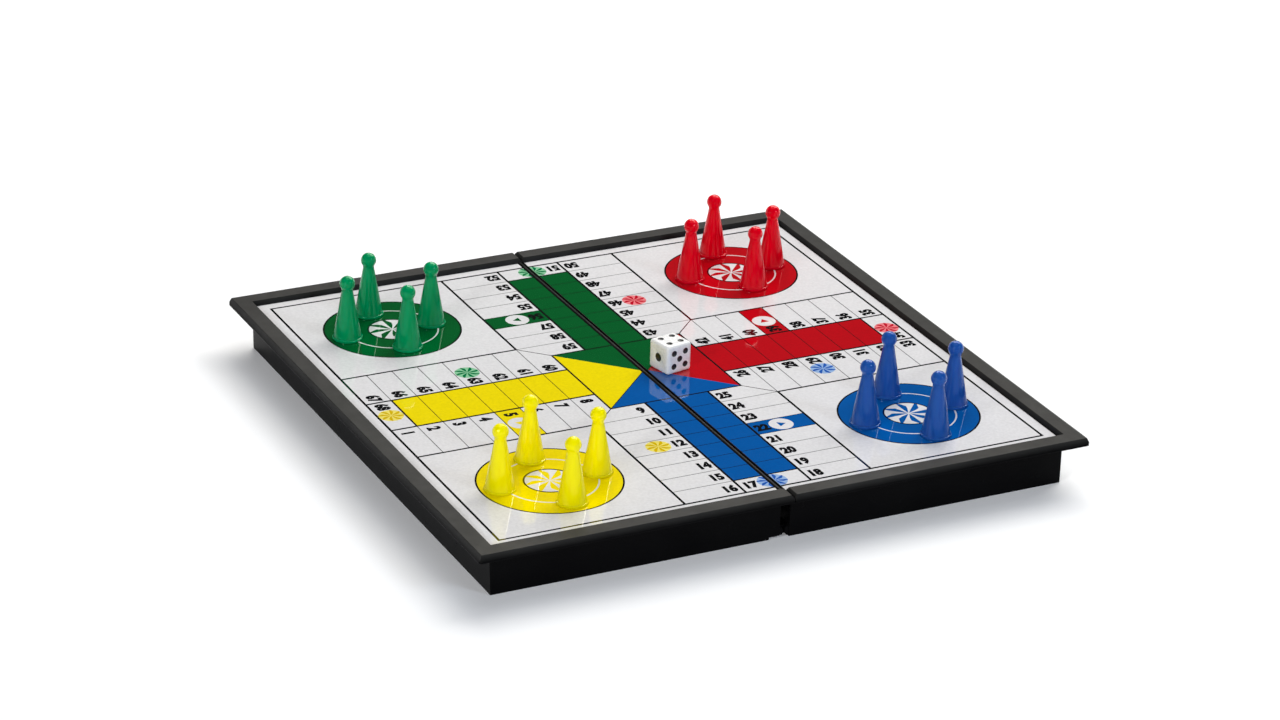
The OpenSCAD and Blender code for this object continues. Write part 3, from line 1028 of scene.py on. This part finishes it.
@dataclass
class PawnSet:
    """Sixteen turned pawns, each standing on its magnet."""

    foot_radius: float = 6.0
    foot_height: float = 1.0
    foot_bevel: float = 0.15
    edge: float = 0.3
    edge_steps: int = 4
    cone_radius: float = 5.6
    cone_steps: int = 14
    neck_radius: float = 2.05
    neck_fillet: float = 1.3
    neck_steps: int = 8
    head_radius: float = 3.05
    head_steps: int = 24
    pocket_radius: float = 3.5
    pocket_height: float = 1.7
    seam: float = 0.035
    turns: int = 96
    seats: int = 4
    seat_twist: float = 37.0
    house_twist: float = 61.0
    smooth_angle: float = 28.0

    def foot(self) -> list[Point]:
        """The outline of the magnet's pocket and of the foot.

        Returns:
            Radius and height of each point.
        """
        outline = [
            (0.0, self.pocket_height),
            (self.pocket_radius, self.pocket_height),
            (self.pocket_radius, 0.0),
            (self.foot_radius - self.foot_bevel, 0.0),
            (self.foot_radius, self.foot_bevel),
        ]
        shoulder = self.foot_height - self.edge
        for step in range(self.edge_steps + 1):
            turn = math.radians(90 * step / self.edge_steps)
            radius = self.foot_radius - self.edge * (1 - math.cos(turn))
            outline.append((radius, shoulder + self.edge * math.sin(turn)))
        return outline

    def body(self, height: float) -> list[Point]:
        """The outline of the cone, the neck and the head.

        Args:
            height: The pawn's height.

        Returns:
            Radius and height of each point.
        """
        head_z = height - self.head_radius
        neck_z = head_z - math.sqrt(self.head_radius**2 - self.neck_radius**2)
        slope = (self.neck_radius - self.cone_radius) / (neck_z - self.foot_height)
        outline = [(self.cone_radius, self.foot_height)]
        for step in range(1, self.cone_steps + 1):
            rise = (neck_z - self.neck_fillet - self.foot_height) * step / self.cone_steps
            outline.append((self.cone_radius + slope * rise, self.foot_height + rise))
        outline += self.neck(neck_z, slope, head_z)
        start = math.asin(min(1.0, (neck_z + self.neck_fillet / 2 - head_z) / self.head_radius))
        for step in range(1, self.head_steps):
            turn = start + (math.pi / 2 - start) * step / self.head_steps
            side, up = self.head_radius * math.cos(turn), self.head_radius * math.sin(turn)
            outline.append((side, head_z + up))
        return [*outline, (0.0, height)]

    def neck(self, neck_z: float, slope: float, head_z: float) -> Iterator[Point]:
        """A soft hollow between the cone and the head.

        Args:
            neck_z: Height at which the bare cone and the bare head would meet.
            slope: The cone's change of radius with height.
            head_z: Height of the head's middle.

        Yields:
            The hollow's points.
        """
        low = Vector((self.neck_radius - slope * self.neck_fillet, neck_z - self.neck_fillet))
        high_z = neck_z + self.neck_fillet / 2
        high = Vector((math.sqrt(self.head_radius**2 - (high_z - head_z) ** 2), high_z))
        corner = Vector((self.neck_radius, neck_z))
        for step in range(1, self.neck_steps):
            part = step / self.neck_steps
            place = low * (1 - part) ** 2 + corner * 2 * part * (1 - part) + high * part**2
            yield (place.x, place.y)
        yield (high.x, high.y)

    def turned(self, base: Vector, height: float, twist: float) -> bmesh.types.BMesh:
        """Turns the outline about the pawn's axis, with a faint mould seam on two sides.

        Args:
            base: Middle of the foot, in metres.
            height: The pawn's height.
            twist: Where the seam is, in degrees.

        Returns:
            The closed mesh in metres.
        """
        form = bmesh.new()
        foot, body = self.foot(), self.body(height)
        spokes = circle(self.turns, math.radians(twist))
        rings: list[Ring] = []
        for index, (radius, rise) in enumerate(foot + body):
            if radius == 0.0:
                rings.append([form.verts.new(base + Vector((0, 0, rise * MM)))])
                continue
            seam = self.seam if index >= len(foot) else 0.0
            ring = []
            for step, (x, y) in enumerate(spokes):
                reach = radius + (seam if step % (self.turns // 2) == 0 else 0.0)
                ring.append(form.verts.new(base + Vector((reach * x, reach * y, rise)) * MM))
            rings.append(ring)
        for low, high in zip(rings, rings[1:]):
            bridge(form, low, high)
        bmesh.ops.recalc_face_normals(form, faces=form.faces)
        return form

    def build(self) -> list[bpy.types.Object]:
        """Builds every pawn in place of its solid.

        Returns:
            The pawns.
        """
        made = []
        for house in House:
            finish = PAWN_FINISHES[house].material()
            for seat in range(1, self.seats + 1):
                name = f"{house.value}_{seat}"
                low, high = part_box(f"pawn_{name}")
                base = Vector(((low.x + high.x) / 2, (low.y + high.y) / 2, low.z))
                twist = self.seat_twist * seat + self.house_twist * house.arm
                form = self.turned(base, (high.z - low.z) / MM, twist)
                body = f"{house.value}_pawn_{seat}"
                pawn = make_piece(f"turned_pawn_{name}", form, body, [finish], self.smooth_angle)
                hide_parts(f"pawn_{name}")
                made.append(pawn)
        return made


@dataclass
class Die:
    """A tumbled die with dished, painted pips."""

    side: float = 11.9
    edge_radius: float = 1.3
    edge_steps: int = 8
    pip_radius: float = 1.25
    one_pip_radius: float = 1.8
    pip_depth: float = 0.5
    pip_step: float = 2.75
    pip_sides: int = 32
    pip_rings: int = 5
    turn: float = 12.0
    weld: float = 0.001
    smooth_angle: float = 35.0

    PIPS: ClassVar[dict[int, tuple[tuple[int, int], ...]]] = {
        1: ((0, 0),),
        2: ((-1, -1), (1, 1)),
        3: ((-1, -1), (0, 0), (1, 1)),
        4: ((-1, -1), (-1, 1), (1, -1), (1, 1)),
        5: ((-1, -1), (-1, 1), (0, 0), (1, -1), (1, 1)),
        6: ((-1, -1), (-1, 0), (-1, 1), (1, -1), (1, 0), (1, 1)),
    }
    FACES: ClassVar[dict[int, Matrix]] = {
        4: Matrix.Identity(3),
        3: Matrix.Rotation(math.pi, 3, "X"),
        5: Matrix.Rotation(math.pi / 2, 3, "X"),
        2: Matrix.Rotation(-math.pi / 2, 3, "X"),
        1: Matrix.Rotation(-math.pi / 2, 3, "Y"),
        6: Matrix.Rotation(math.pi / 2, 3, "Y"),
    }

    @property
    def flat(self) -> float:
        """From the middle of a face to where its edge begins to round."""
        return self.side / 2 - self.edge_radius

    def face(self, form: bmesh.types.BMesh, number: int) -> None:
        """Adds one flat face with its dished pips.

        Args:
            form: The die's mesh, about its own middle.
            number: How many pips it has.
        """
        turn, level, flat = self.FACES[number], self.side / 2, self.flat
        square = ((-flat, -flat), (flat, -flat), (flat, flat), (-flat, flat))
        middles = [Vector(pip) * self.pip_step for pip in self.PIPS[number]]
        reach = self.one_pip_radius if number == 1 else self.pip_radius
        holes = [[middle + spoke * reach for spoke in self.spokes()] for middle in middles]
        corners, parts = divide([square, *holes])
        verts = [form.verts.new(turn @ Vector((c.x, c.y, level))) for c in corners]
        for part, sources in parts:
            in_a_hole = max(sources) > 0
            if not in_a_hole:
                form.faces.new([verts[i] for i in part])
        for middle in middles:
            self.dish(form, turn, middle, reach)

    def spokes(self) -> list[Vector]:
        """Directions to the corners of a pip's rim."""
        return [Vector(place) for place in circle(self.pip_sides)]

    def dish(self, form: bmesh.types.BMesh, turn: Matrix, middle: Vector, reach: float) -> None:
        """Adds the painted hollow of one pip.

        Args:
            form: The die's mesh.
            turn: Turns the top face to the pip's face.
            middle: The pip's middle on that face.
            reach: The pip's radius.
        """
        level, paint = self.side / 2, 1
        ball = (reach**2 + self.pip_depth**2) / (2 * self.pip_depth)
        rings = []
        for index in range(self.pip_rings):
            radius = reach * (1 - index / self.pip_rings)
            sink = math.sqrt(ball**2 - radius**2) - (ball - self.pip_depth)
            places = [middle + spoke * radius for spoke in self.spokes()]
            corners = [turn @ Vector((place.x, place.y, level - sink)) for place in places]
            rings.append([form.verts.new(corner) for corner in corners])
        bottom = turn @ Vector((middle.x, middle.y, level - self.pip_depth))
        rings.append([form.verts.new(bottom)])
        for outer, inner in zip(rings, rings[1:]):
            bridge(form, outer, inner, paint)

    def build(self) -> bpy.types.Object:
        """Builds the die in place of its solid.

        Returns:
            The die.
        """
        form = bmesh.new()
        bmesh.ops.create_cube(form, size=self.side)
        bmesh.ops.bevel(
            form,
            geom=list(form.edges),
            offset=self.edge_radius,
            segments=self.edge_steps,
            profile=0.5,
            affect="EDGES",
        )
        large = (2 * self.flat) ** 2 / 2
        blanks = [face for face in form.faces if face.calc_area() > large]
        bmesh.ops.delete(form, geom=blanks, context="FACES_ONLY")
        for number in self.PIPS:
            self.face(form, number)
        bmesh.ops.remove_doubles(form, verts=form.verts, dist=self.weld)
        bmesh.ops.recalc_face_normals(form, faces=form.faces)
        low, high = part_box("die")
        place = Matrix.Translation((low + high) / 2)
        turn = Matrix.Rotation(math.radians(self.turn), 4, "Z")
        form.transform(place @ turn @ Matrix.Scale(MM, 4))
        finishes = [DIE_RESIN.material(), PIP_PAINT.material()]
        die = make_piece("tumbled_die", form, "die", finishes, self.smooth_angle)
        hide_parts("die")
        return die


@dataclass
class Carcass:
    """The solids that keep their own shape: trays, steel, hinge and magnets."""

    FINISHES: ClassVar[dict[str, Finish]] = {
        "tray_": MOULDED_BLACK,
        "hinge_link_": MOULDED_BLACK,
        "hinge_pins_": DRAWN_STEEL,
        "steel_sheet_": ROLLED_STEEL,
        "closing_magnets_": NICKEL,
        "magnet_": FERRITE,
    }

    def dress(self) -> list[bpy.types.Object]:
        """Gives each solid the finish that its name calls for.

        Returns:
            The dressed solids.
        """
        made = {finish: finish.material() for finish in dict.fromkeys(self.FINISHES.values())}
        dressed = []
        for start, finish in self.FINISHES.items():
            for name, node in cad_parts.items():
                if name.startswith(start):
                    for slot in node.material_slots:
                        slot.material = made[finish]
                    dressed.append(node)
        return dressed


@dataclass(frozen=True)
class SoftBox:
    """A flat lamp that looks at the board, and may be kept out of its glossy surfaces."""

    name: str
    place: tuple[float, float, float]
    size: tuple[float, float]
    power: float
    tint: Rgb
    mirrored: bool = True

    def hang(self) -> None:
        """Hangs the lamp and turns it to the board's middle."""
        lamp = bpy.data.lights.new(self.name, "AREA")
        lamp.shape = "RECTANGLE"
        lamp.size, lamp.size_y = self.size
        lamp.energy = self.power
        lamp.color = linear(self.tint)[:3]
        hung = bpy.data.objects.new(self.name, lamp)
        bpy.context.scene.collection.objects.link(hung)
        hung.location = self.place
        hung.visible_camera = False
        hung.visible_glossy = self.mirrored
        hung.rotation_euler = (-Vector(self.place)).to_track_quat("-Z", "Y").to_euler()


@dataclass
class Studio:
    """Pale floor, soft lamps and the camera at the photograph's viewing angle."""

    floor_reach: float = 7.0
    floor_sides: int = 48
    sweep: tuple[Point, ...] = ((0.0, 0.0), (1.2, 0.15), (2.0, 0.7), (2.3, 1.6))
    floor_colours: tuple[Rgb, Rgb] = ((245, 247, 250), (246, 248, 251))
    floor_speck: Noise = Noise(40)
    floor_roughness: float = 0.9
    floor_gloss: float = 0.1
    floor_glow: Span = (0.1, 1.0)
    glow_reach: Span = (0.8, 2.4)
    world_colour: Rgb = (214, 218, 226)
    world_strength: float = 0.045
    camera_place: tuple[float, float, float] = (-0.6496, -1.2924, 0.6722)
    camera_target: tuple[float, float, float] = (0.0026, 0.0104, 0.0180)
    camera_roll: float = 1.62
    focal_length: float = 114.5
    sensor_width: float = 36.0
    nearest: float = 0.05
    lamps: tuple[SoftBox, ...] = (
        SoftBox("key lamp", (0.78, 0.8, 1.15), (1.6, 0.8), 28.5, (255, 251, 244)),
        SoftBox("top lamp", (0.1, 0.15, 1.5), (1.2, 1.2), 5.0, (252, 253, 255)),
        SoftBox("right front lamp", (0.72, -1.32, 0.93), (0.3, 0.34), 4.8, (228, 240, 255)),
        SoftBox("left front lamp", (-1.25, -0.76, 0.75), (0.3, 0.32), 7.5, (252, 251, 250)),
        SoftBox("low fill lamp", (-0.85, -1.85, 0.5), (0.9, 0.9), 15.0, (250, 251, 255), False),
    )

    def floor_material(self) -> bpy.types.Material:
        """Builds the floor's finish, which glows by itself where it is only looked at.

        Returns:
            The material.
        """
        graph = ShaderGraph("studio floor")
        graph.feed("Base Color", graph.tones(graph.noise(self.floor_speck), self.floor_colours))
        sheen = {"roughness": self.floor_roughness, "specular_ior_level": self.floor_gloss}
        graph.fill(graph.shader, **sheen)
        rays = graph.node("ShaderNodeLightPath").outputs
        seen = rays["Is Camera Ray"]
        for ray in ("Is Glossy Ray", "Is Transmission Ray"):
            seen = graph.reckon("MAXIMUM", seen, rays[ray])
        strength = graph.reckon("MULTIPLY", seen, self.spread(graph))
        glow = graph.node("ShaderNodeEmission", {"Strength": strength}).outputs[0]
        both = graph.node("ShaderNodeAddShader", {0: graph.shader.outputs[0], 1: glow})
        graph.tree.links.new(both.outputs[0], graph.output.inputs["Surface"])
        return graph.material

    def spread(self, graph: ShaderGraph) -> Socket:
        """How much the floor glows: little round the board, fully where no lamp reaches.

        Args:
            graph: The floor's node tree.

        Returns:
            The strength of the glow.
        """
        away = graph.node("ShaderNodeVectorMath", {0: graph.place})
        away.operation = "LENGTH"
        return graph.remap(away.outputs["Value"], self.glow_reach, self.floor_glow)

    def floor(self) -> None:
        """Lays the pale floor under the board, turned up all round where it ends."""
        form = bmesh.new()
        rings: list[Ring] = []
        for out, up in self.sweep:
            reach = self.floor_reach + out
            places = [(reach * x, reach * y, up) for x, y in circle(self.floor_sides)]
            rings.append([form.verts.new(place) for place in places])
        form.faces.new(rings[0])
        for inner, outer in zip(rings, rings[1:]):
            bridge(form, outer, inner)
        laid = make_object("studio_floor", form, [self.floor_material()])
        laid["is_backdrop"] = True

    def world(self) -> None:
        """Fills the room with a level pale light."""
        world = bpy.data.worlds.new("studio room")
        world.use_nodes = True
        ground = world.node_tree.nodes["Background"]
        ground.inputs["Color"].default_value = linear(self.world_colour)
        ground.inputs["Strength"].default_value = self.world_strength
        bpy.context.scene.world = world

    def camera(self) -> None:
        """Sets the camera where the photograph was taken from."""
        lens = bpy.data.cameras.new("photograph camera")
        lens.lens = self.focal_length
        lens.sensor_width = self.sensor_width
        lens.clip_start = self.nearest
        held = bpy.data.objects.new("photograph camera", lens)
        bpy.context.scene.collection.objects.link(held)
        look = Vector(self.camera_target) - Vector(self.camera_place)
        roll = Quaternion((0, 0, 1), math.radians(self.camera_roll))
        held.location = self.camera_place
        held.rotation_mode = "QUATERNION"
        held.rotation_quaternion = look.to_track_quat("-Z", "Y") @ roll
        bpy.context.scene.camera = held

    def build(self) -> None:
        """Fills the room, lays the floor, hangs the lamps and sets the camera."""
        bpy.context.scene.view_settings.view_transform = "Standard"
        self.world()
        self.floor()
        for lamp in self.lamps:
            lamp.hang()
        self.camera()


def report(pieces: Iterable[bpy.types.Object]) -> None:
    """Logs the name, the faces and the first finishes of each piece.

    Args:
        pieces: The pieces.
    """
    for piece in pieces:
        finishes = [slot.name for slot in piece.material_slots][:3]
        LOG.info("%s: %d faces, %s", piece.name, len(piece.data.polygons), finishes)


def write_sizes() -> None:
    """Works out the solids' box and the dressed model's box as JSON text, which is not kept."""
    boxes = {"cad": CAD_BOX, "visual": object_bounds()}
    json.dumps({name: [list(corner) for corner in box] for name, box in boxes.items()})


def main() -> None:
    """Builds the studio and every sub-assembly in order."""
    logging.basicConfig(level=logging.INFO, format="%(name)s: %(message)s")
    Studio().build()
    report(Carcass().dress())
    report(PrintedBoard().build())
    report(PawnSet().build())
    report([Die().build()])
    write_sizes()


if __name__ == "__main__":
    main()
